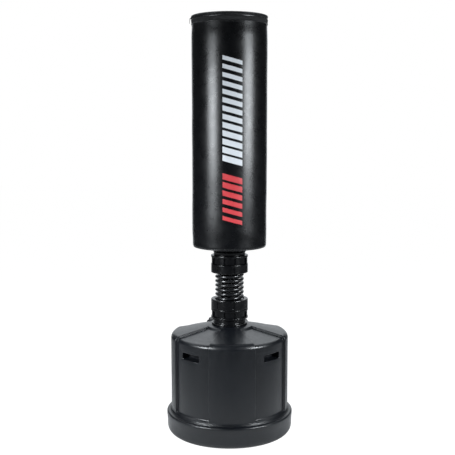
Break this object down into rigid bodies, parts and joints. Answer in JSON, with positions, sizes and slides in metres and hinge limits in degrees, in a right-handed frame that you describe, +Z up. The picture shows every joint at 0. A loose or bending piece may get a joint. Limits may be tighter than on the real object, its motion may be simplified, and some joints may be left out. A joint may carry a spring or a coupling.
{
  "type": "free-standing boxing bag",
  "caption": "Free-standing boxing bag: padded cylinder in black artificial leather on a coil-sprung neck, standing on a fillable round plastic base with hand pockets.",
  "frame": {"origin": "centre of the base's underside, on the floor", "axes": "+Z up along the bag; the bag's printed front faces -Y; +X is to the right of someone facing the front"},
  "size_m": [0.516, 0.516, 1.687],
  "materials": {
    "tank_plastic": "satin",
    "coupling_plastic": "gloss",
    "black_steel": "gloss",
    "zinc_steel": "satin",
    "pu_leather": "satin",
    "foam": "matte",
    "board": "matte",
    "seal_rubber": "matte",
    "cap_plastic": "satin",
    "zip_tape": "matte",
    "zip_metal": "satin"
  },
  "bodies": {
    "base": {"base_tank": "tank_plastic", "base_neck": "coupling_plastic", "lower_spring_housing": "coupling_plastic", "lower_spring_plate": "black_steel", "lower_bolt_1": "zinc_steel", "lower_bolt_2": "zinc_steel", "lower_bolt_3": "zinc_steel"},
    "cap_seal": {"filler_gasket": "seal_rubber"},
    "cap": {"filler_cap": "cap_plastic"},
    "lower_ring": {"lower_lock_ring": "coupling_plastic"},
    "spring_unit": {"outer_spring": "black_steel", "inner_spring": "black_steel"},
    "bag": {"upper_spring_plate": "black_steel", "upper_bolt_1": "zinc_steel", "upper_bolt_2": "zinc_steel", "upper_bolt_3": "zinc_steel", "upper_spring_housing": "coupling_plastic", "upper_neck": "coupling_plastic", "core_tube": "black_steel", "bottom_board": "board", "neck_screw_1": "zinc_steel", "neck_screw_2": "zinc_steel", "neck_screw_3": "zinc_steel", "neck_screw_4": "zinc_steel", "foam_core": "foam", "bag_cover": "pu_leather", "zip_tape": "zip_tape", "top_board": "board", "top_pad": "foam", "bag_lid": "pu_leather"},
    "upper_ring": {"upper_lock_ring": "coupling_plastic"},
    "slider": {"zip_slider": "zip_metal"},
    "pull": {"zip_pull": "zip_metal"}
  },
  "joints": [
    {"name": "neck_tilt_side", "type": "hinge", "parent": "base", "child": "spring_unit", "pos_m": [0, 0, 0.558], "axis": [0, 1, 0], "range_deg": [-20, 20], "stiffness_Nm_per_rad": 450, "deforming": ["outer_spring", "inner_spring"]},
    {"name": "neck_tilt_fore", "type": "hinge", "parent": "spring_unit", "child": "bag", "pos_m": [0, 0, 0.654], "axis": [1, 0, 0], "range_deg": [-20, 20], "stiffness_Nm_per_rad": 450, "deforming": ["outer_spring", "inner_spring"]},
    {"name": "lower_ring_turn", "type": "hinge", "parent": "base", "child": "lower_ring", "pos_m": [0, 0, 0.493], "axis": [0, 0, 1], "range_deg": [0, 45]},
    {"name": "upper_ring_turn", "type": "hinge", "parent": "bag", "child": "upper_ring", "pos_m": [0, 0, 0.716], "axis": [0, 0, 1], "range_deg": [0, 45]},
    {"name": "cap_lift", "type": "slide", "parent": "base", "child": "cap_seal", "axis": [0, 0, 1], "range_m": [0, 0.0101]},
    {"name": "cap_turn", "type": "hinge", "parent": "cap_seal", "child": "cap", "pos_m": [-0.0573, 0.1105, 0.428], "axis": [0, 0, 1], "range_deg": [0, 900]},
    {"name": "zip_travel", "type": "hinge", "parent": "bag", "child": "slider", "pos_m": [0, 0, 1.6743], "axis": [0, 0, -1], "range_deg": [0, 330]},
    {"name": "pull_swing", "type": "hinge", "parent": "slider", "child": "pull", "pos_m": [-0.1573, 0, 1.6738], "axis": [0, 1, 0], "range_deg": [-12, 150]}
  ],
  "couplings": [
    {"joint": "cap_lift", "follows": "cap_turn", "m_per_rad": 0.00063662}
  ]
}
